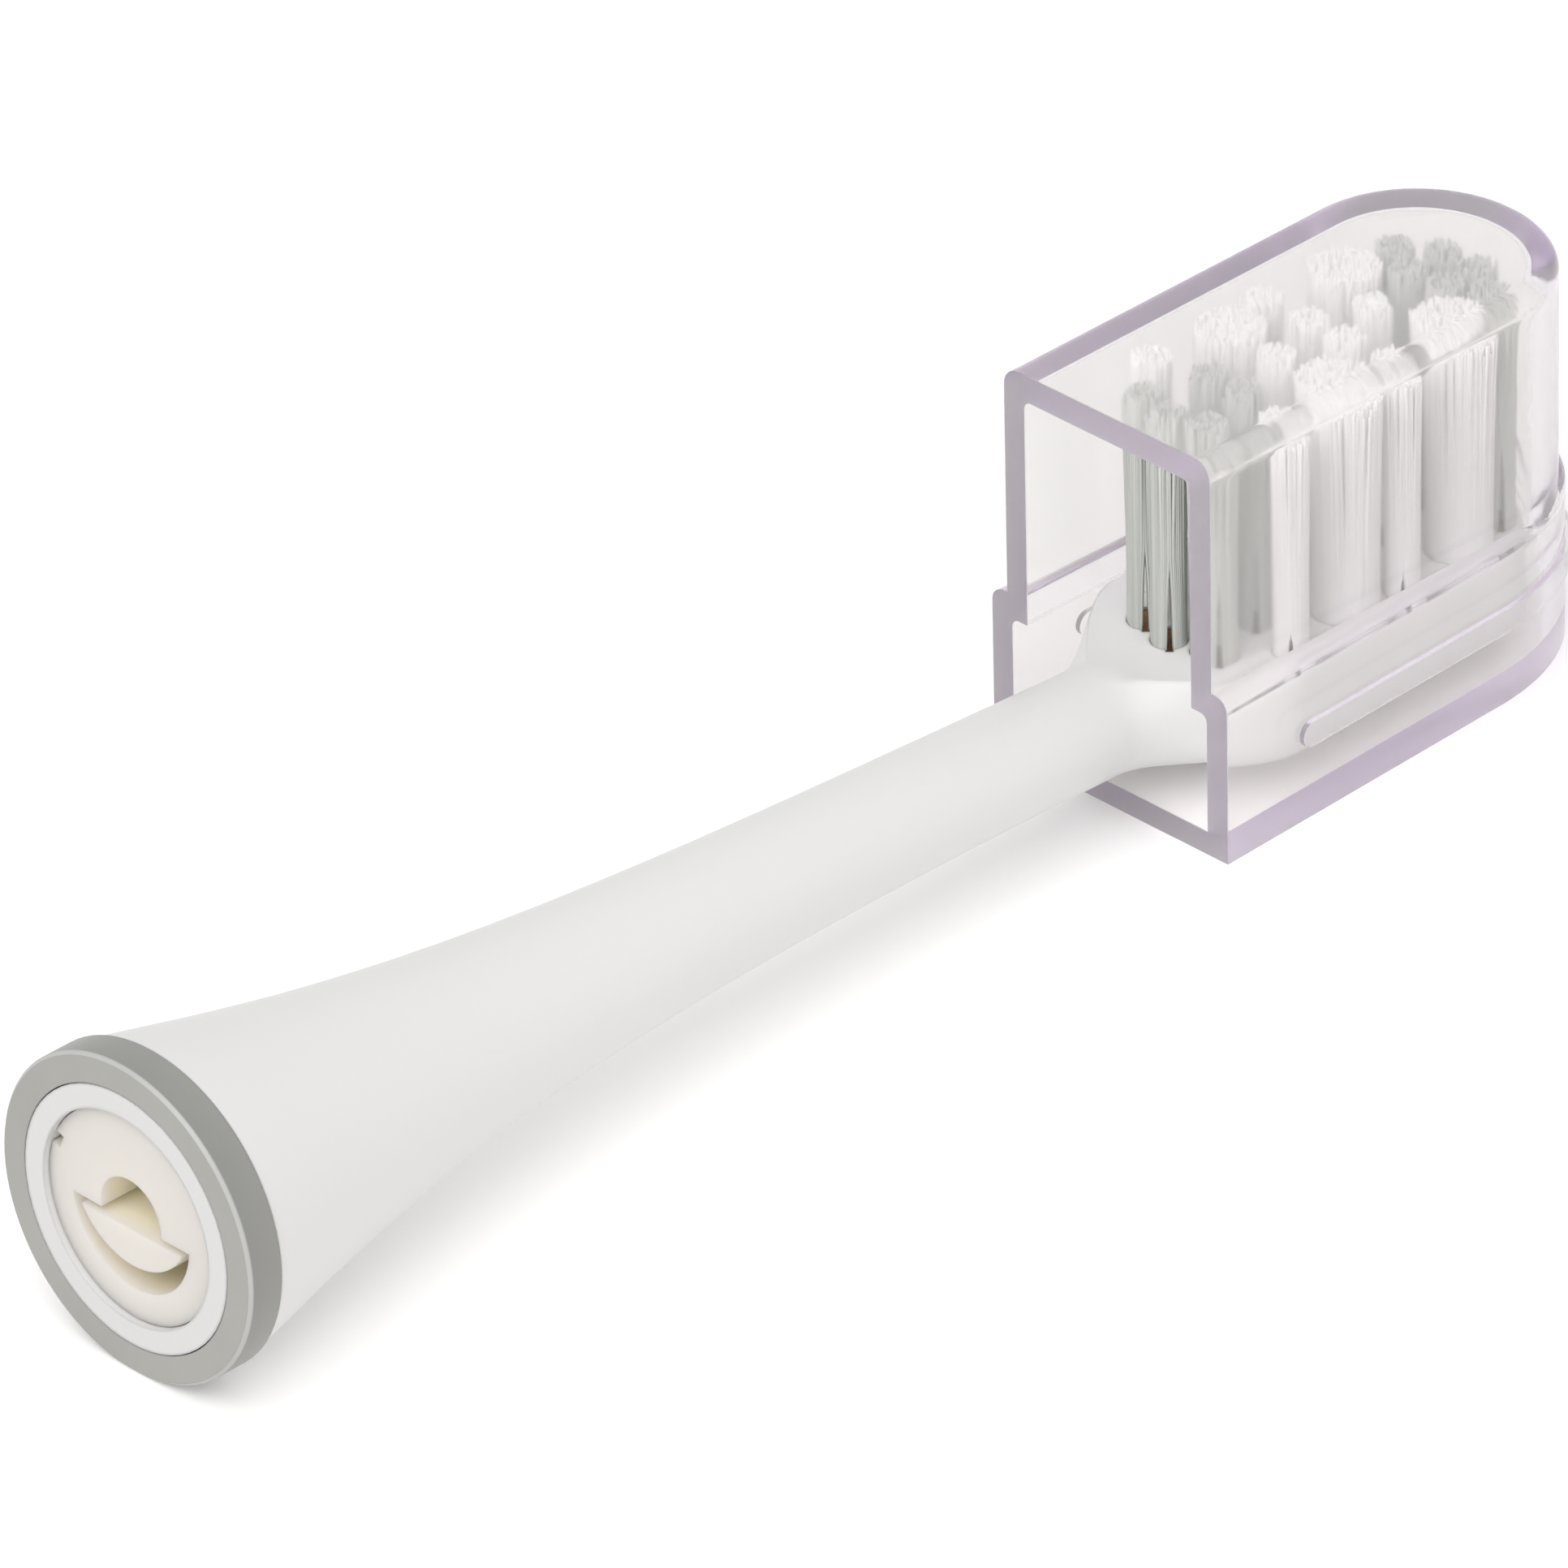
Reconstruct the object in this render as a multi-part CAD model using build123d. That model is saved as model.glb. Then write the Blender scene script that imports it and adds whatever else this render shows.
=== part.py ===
from build123d import *
import math
import os

# Electric toothbrush head with its clear travel cap, lying bristles up.
# Millimetres. The origin is the centre of the base's end face, +X runs to the tip, +Z is the bristle side.

# Base: walls from the drive insert outwards, then the ring
SPIGOT_WALL = 1.1
RING_WALL = 1.375
RING_L = 1.9
RING_EDGE = 0.15
SKIRT_STEP = 0.15
FIT_GAP = 0.05

# Flare and neck
NECK_D = 4.8
NECK_END = 56.5
FLARE_L = 16.6
FLARE_POWER = 1.12
NECK_DROP = 1.25
DROP_START = 8.0

# Head
SHOULDER_L = 7.0
HEAD_TOP_Z = 0.85
HEAD_T = 4.85
HEAD_CROWN = 1.2
HEAD_TAPER = 0.3
HEAD_SQUARENESS = 5.5
ROUND_SQUARENESS = 2.0
DECK_SETBACK = 3.5
DECK_RUN_OUT_R = 15.0
DECK_RUN_OUT_TURN = 20.0

# Drive insert: a taper plug with a D-shaped socket and a sprung tongue
INSERT_D = 9.85
INSERT_END_D = 6.0
INSERT_COLLAR_L = 4.0
INSERT_L = 16.0
INSERT_RECESS = 0.3
INSERT_NOTCH_W = 0.7
INSERT_NOTCH_DEPTH = 0.45
INSERT_NOTCH_ANGLE = 24.0
SHAFT_D = 3.6
SHAFT_FLAT_Z = -0.63
SOCKET_FLOOR = 2.0
POCKET_WALL = 1.425
POCKET_LEDGE_RISE = 0.35
TONGUE_L = 9.0
TONGUE_DROP_GAP = 1.1

# Tufts and their anchors
TUFT_D = 1.6
WIDE_TUFT_D = 3.0
TUFT_TOP_Z = 11.6
TUFT_HOLE_DEPTH = 2.8
TUFT_EDGE_MARGIN = 0.45
TUFT_WEB = 0.5
FRONT_WEB = 0.3
SIDE_WEB = 0.8
ROW_WEB = 1.0
FIELD_SETBACK = 4.8
ANCHOR_T = 0.3
ANCHOR_H = 1.6
ANCHOR_BITE = 0.15
ANCHOR_SINK = 0.1
ANCHOR_ANGLE = 45.0
ANCHOR_GAP = 0.03
SLIT_H = 2.2

# Cap: clearances round the head, then its own walls
CAP_SETBACK = 1.1
CAP_WALL = 1.2
CAP_ROOF_T = 1.3
CAP_FLOOR_T = 1.15
CAP_SIDE_GAP = 0.5
CAP_FLOOR_GAP = 0.75
CAP_STEP_GAP = 0.25
CAP_TOP_GAP = 0.75
CAP_TIP_GAP = 1.75
CAP_TAPER = 0.5
CAP_STEP = 0.92
CAP_END_L = 9.0
CAP_TOP_END_L = 6.0
CAP_TOP_R = 0.9
CAP_SHOULDER_R = 0.7
CAP_INNER_R = 0.4
GRIP_SETBACK = 4.6
GRIP_Z = -1.6
GRIP_H = 1.2
GRIP_T = 0.25

# Rows of the tuft field: row pitches back from the last wide tufts, seat, size and colour
ROWS = (
    (4.30, "middle", TUFT_D, "grey"),
    (4.15, "front", TUFT_D, "grey"),
    (3.40, "edge", TUFT_D, "white"),
    (3.20, "inner", TUFT_D, "grey"),
    (2.25, "middle", TUFT_D, "white"),
    (2.15, "edge", WIDE_TUFT_D, "white"),
    (1.30, "edge", TUFT_D, "white"),
    (1.30, "inner", TUFT_D, "white"),
    (0.45, "middle", TUFT_D, "white"),
    (0.00, "edge", WIDE_TUFT_D, "white"),
)

# Sizes and places worked out from the values above
SPIGOT_D = INSERT_D + 2 * (FIT_GAP + SPIGOT_WALL)
BASE_D = SPIGOT_D + 2 * (FIT_GAP + RING_WALL)
SKIRT_D = BASE_D - 2 * SKIRT_STEP
SOCKET_L = INSERT_L - SOCKET_FLOOR
POCKET_R = INSERT_D / 2 - POCKET_WALL
POCKET_LEDGE_Z = SHAFT_FLAT_Z + POCKET_LEDGE_RISE
TIP_W = TUFT_D + 2 * (SIDE_WEB + WIDE_TUFT_D + TUFT_EDGE_MARGIN)
HEAD_W = TIP_W + 2 * HEAD_TAPER
HEAD_START = NECK_END + SHOULDER_L
HEAD_BOTTOM_Z = HEAD_TOP_Z - HEAD_T
DECK_START = NECK_END + DECK_SETBACK
EDGE_Y = TIP_W / 2 - TUFT_EDGE_MARGIN
TUFT_PITCH = TUFT_D + TUFT_WEB
ROW_PITCH = (TUFT_D + WIDE_TUFT_D) / 2 + ROW_WEB
TIP_ARC_R = EDGE_Y - TUFT_D / 2
TIP_ARC_TURN = math.asin(TUFT_PITCH / 2 / TIP_ARC_R)
INNER_TIP = TIP_ARC_R * math.cos(TIP_ARC_TURN) - TUFT_PITCH
LAST_WIDE = INNER_TIP - math.sqrt(
    ((TUFT_D + WIDE_TUFT_D) / 2 + TUFT_WEB) ** 2 - (EDGE_Y - WIDE_TUFT_D / 2 - TUFT_PITCH / 2) ** 2
)
TIP_CENTRE_X = NECK_END + FIELD_SETBACK + ROWS[0][0] * ROW_PITCH - LAST_WIDE
TIP_X = TIP_CENTRE_X + TIP_W / 2
CAP_FRONT_X = NECK_END + CAP_SETBACK
CAP_LEDGE_Z = HEAD_TOP_Z + CAP_STEP_GAP
CAP_ROOF_Z = TUFT_TOP_Z + CAP_TOP_GAP
FLARE_STATIONS = 12
SHOULDER_STATIONS = 6
PROFILE_STEPS = 12


def ease(share):
    """Smooth step from 0 to 1."""
    return share * share * (3 - 2 * share)


def mix(start, end, share):
    """Value between start and end."""
    return start + (end - start) * share


def body_form(x):
    """Half width, lowest and highest point and squareness of the body at x, before its deck is cut."""
    along = min(x, NECK_END)
    flare = math.exp(-(((along - RING_L) / FLARE_L) ** FLARE_POWER))
    radius = mix(NECK_D, SKIRT_D, flare) / 2
    fall = max(along - DROP_START, 0) / (NECK_END - DROP_START)
    centre = -NECK_DROP * fall**2
    blend = ease(min(max((x - NECK_END) / SHOULDER_L, 0), 1))
    taper = HEAD_TAPER * max(x - HEAD_START, 0) / (TIP_CENTRE_X - HEAD_START)
    half_width = mix(radius, HEAD_W / 2, blend) - taper
    low = mix(centre - radius, HEAD_BOTTOM_Z, blend)
    high = mix(centre + radius, HEAD_TOP_Z + HEAD_CROWN, blend)
    return half_width, low, high, mix(ROUND_SQUARENESS, HEAD_SQUARENESS, blend)


def half_outline(x):
    """One side of the body's outline at x, from its lowest to its highest point, on the -Y side."""
    half_width, low, high, squareness = body_form(x)
    middle = (low + high) / 2
    half_height = (high - low) / 2
    if x <= NECK_END:
        return ThreePointArc((0, low), (-half_width, middle), (0, high))
    points = []
    for step in range(PROFILE_STEPS + 1):
        turn = math.pi * (step / PROFILE_STEPS - 0.5)
        across = abs(math.cos(turn)) ** (2 / squareness)
        up = math.copysign(abs(math.sin(turn)) ** (2 / squareness), turn)
        points.append((-half_width * across, middle + half_height * up))
    points[0] = (0, low)
    points[-1] = (0, high)
    return Spline(*points, tangents=[(-1, 0), (1, 0)])


def station(x):
    """Plane across the brush at x, with Y to its right and Z up."""
    return Plane(origin=(x, 0, 0), x_dir=(0, 1, 0), z_dir=(1, 0, 0))


def body_section(x):
    """Closed outline of the body at x."""
    near_side = half_outline(x)
    return station(x) * make_face([near_side, mirror(near_side, about=Plane.YZ)])


def spread(start, end, count):
    """Even stations from start to end."""
    return [mix(start, end, step / (count - 1)) for step in range(count)]


def turned(points):
    """Solid of revolution about the brush axis from (x, radius) points."""
    return revolve(make_face(Polyline(*points, close=True)), axis=Axis.X)


def upright(diameter, low, high, place):
    """Upright round pin from low to high at a place on the head."""
    seat = Pos(place[0], place[1], low)
    return seat * Cylinder(diameter / 2, high - low, align=(Align.CENTER, Align.CENTER, Align.MIN))


def blade(length, thickness, low, high, place):
    """Upright flat blade across a tuft, turned to the anchors' angle."""
    seat = Pos(place[0], place[1], low) * Rot(0, 0, ANCHOR_ANGLE)
    return seat * Box(length, thickness, high - low, align=(Align.CENTER, Align.CENTER, Align.MIN))


def tuft_places():
    """Each tuft's place on the head, diameter and colour."""
    places = []
    for back, seat, diameter, colour in ROWS:
        x = TIP_CENTRE_X + LAST_WIDE - back * ROW_PITCH
        edge = EDGE_Y - diameter / 2
        offsets = {"middle": 0, "inner": TUFT_PITCH / 2, "front": TUFT_D + FRONT_WEB, "edge": edge}
        sides = (1,) if seat == "middle" else (-1, 1)
        places += [((x, side * offsets[seat]), diameter, colour) for side in sides]
    for side in (-1, 1):
        places.append(((TIP_CENTRE_X + INNER_TIP, side * TUFT_PITCH / 2), TUFT_D, "grey"))
    for turns in (-3, -1, 1, 3):
        turn = turns * TIP_ARC_TURN
        place = (TIP_CENTRE_X + TIP_ARC_R * math.cos(turn), TIP_ARC_R * math.sin(turn))
        places.append((place, TUFT_D, "grey"))
    return places


def anchor_heights():
    """Lowest and highest point of an anchor in its hole."""
    high = HEAD_TOP_Z - ANCHOR_SINK
    return high - ANCHOR_H, high


def make_tuft(place, diameter):
    """Bundle of bristles folded under its anchor, with the slit that the fold leaves."""
    low, high = anchor_heights()
    bundle = upright(diameter, HEAD_TOP_Z - TUFT_HOLE_DEPTH, TUFT_TOP_Z, place)
    slit = blade(2 * diameter, ANCHOR_T + 2 * ANCHOR_GAP, low - ANCHOR_GAP, HEAD_TOP_Z + SLIT_H, place)
    return bundle - slit


def make_anchor(place, diameter):
    """Brass blade that pins a folded tuft and bites into both sides of its hole."""
    low, high = anchor_heights()
    return blade(diameter + 2 * (FIT_GAP + ANCHOR_BITE), ANCHOR_T, low, high, place)


def tuft_seat(place, diameter):
    """Blind hole for a tuft, with the two nicks that its anchor cuts."""
    low, high = anchor_heights()
    hole = upright(diameter + 2 * FIT_GAP, HEAD_TOP_Z - TUFT_HOLE_DEPTH - FIT_GAP, TUFT_TOP_Z, place)
    nick_length = diameter + 2 * (FIT_GAP + ANCHOR_BITE + ANCHOR_GAP)
    return hole + blade(nick_length, ANCHOR_T + 2 * ANCHOR_GAP, low - ANCHOR_GAP, TUFT_TOP_Z, place)


def plug_points(gap):
    """Half section of the insert's taper plug, grown by a gap."""
    collar = INSERT_D / 2 + gap
    end = INSERT_L + gap
    return [(0, 0), (0, collar), (INSERT_COLLAR_L, collar), (end, INSERT_END_D / 2 + gap), (end, 0)]


def deck_cut():
    """Everything above the head's flat deck, which runs out onto the neck in an arc."""
    run_out = JernArc((DECK_START, HEAD_TOP_Z), (-1, 0), DECK_RUN_OUT_R, -DECK_RUN_OUT_TURN)
    run_end = run_out @ 1
    far_x = TIP_X + HEAD_CROWN
    clear_z = HEAD_TOP_Z + 2 * HEAD_CROWN
    rest = Polyline(
        (run_end.X, run_end.Y),
        (run_end.X, clear_z),
        (far_x, clear_z),
        (far_x, HEAD_TOP_Z),
        (DECK_START, HEAD_TOP_Z),
    )
    return extrude(Plane.XZ * make_face([run_out, rest]), HEAD_W, both=True)


def make_body(places):
    """White moulding: hollow skirt, neck and head with its flat deck and tuft holes."""
    flare = loft([body_section(x) for x in spread(RING_L, NECK_END, FLARE_STATIONS)])
    shoulder = loft([body_section(x) for x in spread(NECK_END, HEAD_START, SHOULDER_STATIONS)])
    head = loft([body_section(HEAD_START), body_section(TIP_CENTRE_X)], ruled=True)
    _, low, high, _ = body_form(TIP_CENTRE_X)
    tip_half = make_face([half_outline(TIP_CENTRE_X), Line((0, low), (0, high))])
    tip_axis = Axis((TIP_CENTRE_X, 0, 0), (0, 0, 1))
    tip = revolve(station(TIP_CENTRE_X) * tip_half, axis=tip_axis, revolution_arc=180)
    spigot = turned([(0, 0), (0, SPIGOT_D / 2), (RING_L, SPIGOT_D / 2), (RING_L, 0)])
    bore = turned(plug_points(FIT_GAP))
    solid = flare + shoulder + head + tip - deck_cut() + spigot - bore
    return solid - [tuft_seat(place, diameter) for place, diameter, _ in places]


def make_ring():
    """Grey ring on the spigot, with a fine chamfer on both outer edges."""
    inner = SPIGOT_D / 2 + FIT_GAP
    outer = BASE_D / 2
    return turned(
        [
            (0, inner),
            (0, outer - RING_EDGE),
            (RING_EDGE, outer),
            (RING_L - RING_EDGE, outer),
            (RING_L, outer - RING_EDGE),
            (RING_L, inner),
        ]
    )


def make_insert():
    """Cream plug with the D-shaped socket, the tongue that presses on the shaft's flat, and a rim notch."""
    plug = turned(plug_points(0)) - Box(2 * INSERT_RECESS, INSERT_D, INSERT_D)
    mouth = station(0)
    above_flat = Pos(0, SHAFT_FLAT_Z) * Rectangle(SHAFT_D, SHAFT_D, align=(Align.CENTER, Align.MIN))
    socket = Circle(SHAFT_D / 2) & above_flat
    below_ledge = Pos(0, POCKET_LEDGE_Z) * Rectangle(2 * POCKET_R, POCKET_R, align=(Align.CENTER, Align.MAX))
    below_flat = Pos(0, SHAFT_FLAT_Z) * Rectangle(2 * POCKET_R, POCKET_R, align=(Align.CENTER, Align.MAX))
    tongue = Pos(0, TONGUE_DROP_GAP) * Circle(POCKET_R) & below_flat
    pocket = (Circle(POCKET_R) & below_ledge) - tongue
    notch_seat = Rot(INSERT_NOTCH_ANGLE, 0, 0) * Pos(INSERT_RECESS, INSERT_D / 2, 0)
    notch = notch_seat * Box(2 * INSERT_NOTCH_DEPTH, 2 * INSERT_NOTCH_DEPTH, INSERT_NOTCH_W)
    return plug - extrude(mouth * socket, SOCKET_L) - extrude(mouth * pocket, TONGUE_L) - notch


def cap_outline(half_width, taper, end_x, end_l):
    """Plan of the cap: open end at the neck, sides that close in by a taper, and a round far end."""
    turn_x = end_x - end_l
    near_corner = (CAP_FRONT_X, -half_width - taper)
    far_corner = (CAP_FRONT_X, half_width + taper)
    return make_face(
        [
            Line(near_corner, (turn_x, -half_width)),
            EllipticalCenterArc((turn_x, 0), end_l, half_width, start_angle=-90, arc_size=180),
            Line((turn_x, half_width), far_corner),
            Line(far_corner, near_corner),
        ]
    )


def cap_block(plan, low, high, edge_radius):
    """Block on a plan of the cap, with its top edge rounded except at the open end."""
    block = Pos(0, 0, low) * extrude(plan, high - low)
    rim = block.faces().sort_by(Axis.Z)[-1].edges()
    return fillet(rim.filter_by(lambda edge: edge.center().X > CAP_FRONT_X + CAP_WALL), edge_radius)


def make_cap():
    """Clear moulding: floor, stepped side walls, round end and roof, with a raised grip line outside."""
    low_half = HEAD_W / 2 + CAP_SIDE_GAP - CAP_TAPER
    low_end = TIP_X + CAP_TIP_GAP
    high_half = low_half + CAP_TAPER - CAP_STEP
    high_end = low_end - CAP_STEP
    shoulder_z = CAP_LEDGE_Z + CAP_WALL
    floor_z = HEAD_BOTTOM_Z - CAP_FLOOR_GAP
    bottom_z = floor_z - CAP_FLOOR_T
    top_z = CAP_ROOF_Z + CAP_ROOF_T

    def low_plan(outset):
        """Plan of the wide lower part, grown from its inside."""
        return cap_outline(low_half + outset, CAP_TAPER, low_end + outset, CAP_END_L + outset - CAP_WALL)

    def high_plan(outset):
        """Plan of the narrower upper part, grown from its inside."""
        return cap_outline(high_half + outset, 0, high_end + outset, CAP_TOP_END_L + outset - CAP_WALL)

    foot = cap_block(low_plan(CAP_WALL), bottom_z, shoulder_z, CAP_SHOULDER_R)
    hood = cap_block(high_plan(CAP_WALL), bottom_z, top_z, CAP_TOP_R)
    head_room = cap_block(low_plan(0), floor_z, CAP_LEDGE_Z, CAP_INNER_R)
    tuft_room = cap_block(high_plan(0), floor_z, CAP_ROOF_Z, CAP_INNER_R)
    grip = make_grip(low_plan(CAP_WALL + GRIP_T) - low_plan(CAP_WALL / 2))
    return foot + hood + grip - head_room - tuft_room


def make_grip(band):
    """Raised grip line on a band round the cap's lower wall, with a round start on each side."""
    start_x = CAP_FRONT_X + GRIP_SETBACK
    length = 2 * (TIP_X - start_x)
    side_view = Plane.XZ * Pos(start_x + length / 2, GRIP_Z) * SlotOverall(length, GRIP_H)
    strip = Pos(0, 0, GRIP_Z - GRIP_H) * extrude(band, 2 * GRIP_H)
    return strip & extrude(side_view, HEAD_W, both=True)


places = tuft_places()
parts = {
    "brush_body": make_body(places),
    "base_ring": make_ring(),
    "drive_insert": make_insert(),
    "cap": make_cap(),
}
counts = {"grey": 0, "white": 0}
for number, (place, diameter, colour) in enumerate(places, start=1):
    counts[colour] += 1
    parts[f"{colour}_tuft_{counts[colour]:02d}"] = make_tuft(place, diameter)
    parts[f"anchor_{number:02d}"] = make_anchor(place, diameter)

os.makedirs("parts", exist_ok=True)
for name, shape in parts.items():
    export_step(shape, f"parts/{name}.step")
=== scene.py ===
"""Looks of an electric toothbrush head under its clear travel cap.

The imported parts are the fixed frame. The mouldings keep their solids and get their
finishes here, and each tuft is rebuilt as a bundle of nylon filaments. Metres throughout.
"""

import logging
import math
import random
from dataclasses import dataclass, field
from enum import Enum

import bpy
from mathutils import Matrix, Vector


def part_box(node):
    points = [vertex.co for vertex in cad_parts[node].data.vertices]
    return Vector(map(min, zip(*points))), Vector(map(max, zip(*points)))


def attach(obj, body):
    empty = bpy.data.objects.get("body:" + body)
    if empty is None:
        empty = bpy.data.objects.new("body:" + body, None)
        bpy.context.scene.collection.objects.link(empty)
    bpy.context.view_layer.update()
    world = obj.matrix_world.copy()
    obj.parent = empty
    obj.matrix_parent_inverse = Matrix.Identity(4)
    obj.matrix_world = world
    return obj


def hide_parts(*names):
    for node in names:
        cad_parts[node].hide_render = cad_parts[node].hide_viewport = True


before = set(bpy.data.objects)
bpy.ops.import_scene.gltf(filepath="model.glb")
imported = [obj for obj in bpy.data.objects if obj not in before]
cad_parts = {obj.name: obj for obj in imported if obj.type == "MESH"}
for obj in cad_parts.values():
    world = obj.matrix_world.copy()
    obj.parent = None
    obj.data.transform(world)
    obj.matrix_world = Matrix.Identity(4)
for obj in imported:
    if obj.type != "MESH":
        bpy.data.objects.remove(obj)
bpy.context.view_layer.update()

LOG = logging.getLogger("toothbrush_head")
MM = 0.001

Colour = tuple[float, float, float]
Triple = tuple[float, float, float]
Range = tuple[float, float]
Tone = tuple[float, Colour]

WHITE: Colour = (1.0, 1.0, 1.0)
ALONG: Triple = (1.0, 0.0, 0.0)
UP: Triple = (0.0, 0.0, 1.0)

# The mix node repeats its socket names for each kind of data, so its sockets go by their place.
MIX_VALUE_A, MIX_VALUE_B, MIX_VALUE_OUT = 2, 3, 0
MIX_COLOUR_A, MIX_COLOUR_B, MIX_COLOUR_OUT = 6, 7, 2


class Body(Enum):
    """The rigid body that the bundles ride on."""

    BRUSH = "brush"


class Bristle(Enum):
    """The two nylons in the tuft field, by the name that their nodes start with."""

    GREY = "grey"
    WHITE = "white"


class Socket(Enum):
    """Kinds of sockets on a node group."""

    COLOUR = "NodeSocketColor"
    VALUE = "NodeSocketFloat"
    VECTOR = "NodeSocketVector"
    GEOMETRY = "NodeSocketGeometry"


class NodeTree:
    """A node tree with short calls for placing and joining nodes."""

    def __init__(self, tree: bpy.types.NodeTree) -> None:
        """Start from an empty tree.

        Args:
            tree: a material's, world's or group's node tree.
        """
        self.tree = tree
        tree.nodes.clear()

    def add(self, kind: str, values: dict[str, object] | None = None, **settings: object) -> bpy.types.Node:
        """Place a node.

        Args:
            kind: the node's type name.
            values: what its inputs hold, by socket name.
            settings: attributes of the node.

        Returns:
            The new node.
        """
        node = self.tree.nodes.new(kind)
        for name, setting in settings.items():
            setattr(node, name, setting)
        for name, value in (values or {}).items():
            node.inputs[name].default_value = value
        return node

    def link(self, source: bpy.types.NodeSocket, target: bpy.types.NodeSocket) -> None:
        """Join an output socket to an input socket."""
        self.tree.links.new(source, target)

    def feed(self, node: bpy.types.Node, *sources: bpy.types.NodeSocket) -> bpy.types.Node:
        """Join output sockets to a node's inputs, from its first input on.

        Args:
            node: the node that is fed.
            sources: output sockets, in the order of the node's inputs.

        Returns:
            The same node.
        """
        for source, target in zip(sources, node.inputs):
            self.link(source, target)
        return node

    def noise(self, vector: bpy.types.NodeSocket, detail: float = 2.0) -> bpy.types.Node:
        """Place a noise texture that reads a vector.

        Args:
            vector: the socket that gives the place on the surface.
            detail: how many finer layers the noise has.

        Returns:
            The noise node.
        """
        node = self.add("ShaderNodeTexNoise", {"Scale": 1.0, "Detail": detail})
        self.link(vector, node.inputs["Vector"])
        return node

    def object_place(self) -> bpy.types.NodeSocket:
        """Socket of the place on the surface, in the frame's metres."""
        return self.add("ShaderNodeTexCoord").outputs["Object"]


def rgba(colour: Colour) -> tuple[float, float, float, float]:
    """Colour with an alpha of one."""
    return (*colour, 1.0)


def new_material(name: str) -> tuple[bpy.types.Material, NodeTree]:
    """Start a material from an empty node tree.

    Args:
        name: the material's name.

    Returns:
        The new material and its tree.
    """
    material = bpy.data.materials.new(name)
    material.use_nodes = True
    return material, NodeTree(material.node_tree)


def add_object(name: str, data: bpy.types.ID) -> bpy.types.Object:
    """Make an object in the scene.

    Args:
        name: the object's name.
        data: its mesh, lamp or camera.

    Returns:
        The new object.
    """
    made = bpy.data.objects.new(name, data)
    bpy.context.scene.collection.objects.link(made)
    return made


class SharedGroup:
    """A node group that is built on its first use and shared from then on."""

    NAME: str
    KIND = "ShaderNodeTree"
    INPUTS: dict[str, Socket]
    OUTPUTS: dict[str, Socket]

    @classmethod
    def get(cls) -> bpy.types.NodeTree:
        """The group, built if it isn't there yet."""
        return bpy.data.node_groups.get(cls.NAME) or cls.build()

    @classmethod
    def place(cls, tree: NodeTree, values: dict[str, object]) -> bpy.types.Node:
        """Place the group in a material's tree, with the values that its inputs hold."""
        return tree.add("ShaderNodeGroup", values, node_tree=cls.get())

    @classmethod
    def build(cls) -> bpy.types.NodeTree:
        """Make the group's sockets and nodes.

        Returns:
            The new group.
        """
        group = bpy.data.node_groups.new(cls.NAME, cls.KIND)
        for way, sockets in (("INPUT", cls.INPUTS), ("OUTPUT", cls.OUTPUTS)):
            for name, kind in sockets.items():
                group.interface.new_socket(name, in_out=way, socket_type=kind.value)
        tree = NodeTree(group)
        cls.wire(tree, tree.add("NodeGroupInput"), tree.add("NodeGroupOutput"))
        return group

    @classmethod
    def wire(cls, tree: NodeTree, given: bpy.types.Node, result: bpy.types.Node) -> None:
        """Place the nodes between the group's inputs and outputs.

        Args:
            tree: the group's tree.
            given: the node that holds the group's inputs.
            result: the node that takes the group's outputs.
        """
        raise NotImplementedError


class SkinGroup(SharedGroup):
    """Node group of a moulded surface: soft clouds of colour, uneven gloss and a fine grain."""

    NAME = "moulded_skin"
    INPUTS = {
        "Colour": Socket.COLOUR,
        "Cloud Tone": Socket.VALUE,
        "Cloud Scale": Socket.VALUE,
        "Grain Scale": Socket.VALUE,
        "Smoothest": Socket.VALUE,
        "Roughest": Socket.VALUE,
    }
    OUTPUTS = {"Colour": Socket.COLOUR, "Roughness": Socket.VALUE, "Height": Socket.VALUE}
    CLOUD_DETAIL = 3.0

    @classmethod
    def wire(cls, tree: NodeTree, given: bpy.types.Node, result: bpy.types.Node) -> None:
        """Let one noise cloud the colour and the gloss, and a finer one make the grain.

        Args:
            tree: the group's tree.
            given: the node that holds the group's inputs.
            result: the node that takes the group's outputs.
        """
        place = tree.object_place()
        cloud = tree.noise(place, detail=cls.CLOUD_DETAIL)
        tree.link(given.outputs["Cloud Scale"], cloud.inputs["Scale"])
        grain = tree.noise(place)
        tree.link(given.outputs["Grain Scale"], grain.inputs["Scale"])
        colour = tree.add("ShaderNodeMix", data_type="RGBA", blend_type="MULTIPLY")
        tree.link(cloud.outputs["Fac"], colour.inputs["Factor"])
        tree.link(given.outputs["Colour"], colour.inputs[MIX_COLOUR_A])
        tree.link(given.outputs["Cloud Tone"], colour.inputs[MIX_COLOUR_B])
        tree.link(colour.outputs[MIX_COLOUR_OUT], result.inputs["Colour"])
        gloss = tree.add("ShaderNodeMapRange")
        tree.link(cloud.outputs["Fac"], gloss.inputs["Value"])
        tree.link(given.outputs["Smoothest"], gloss.inputs["To Min"])
        tree.link(given.outputs["Roughest"], gloss.inputs["To Max"])
        tree.link(gloss.outputs["Result"], result.inputs["Roughness"])
        tree.link(grain.outputs["Fac"], result.inputs["Height"])


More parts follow.
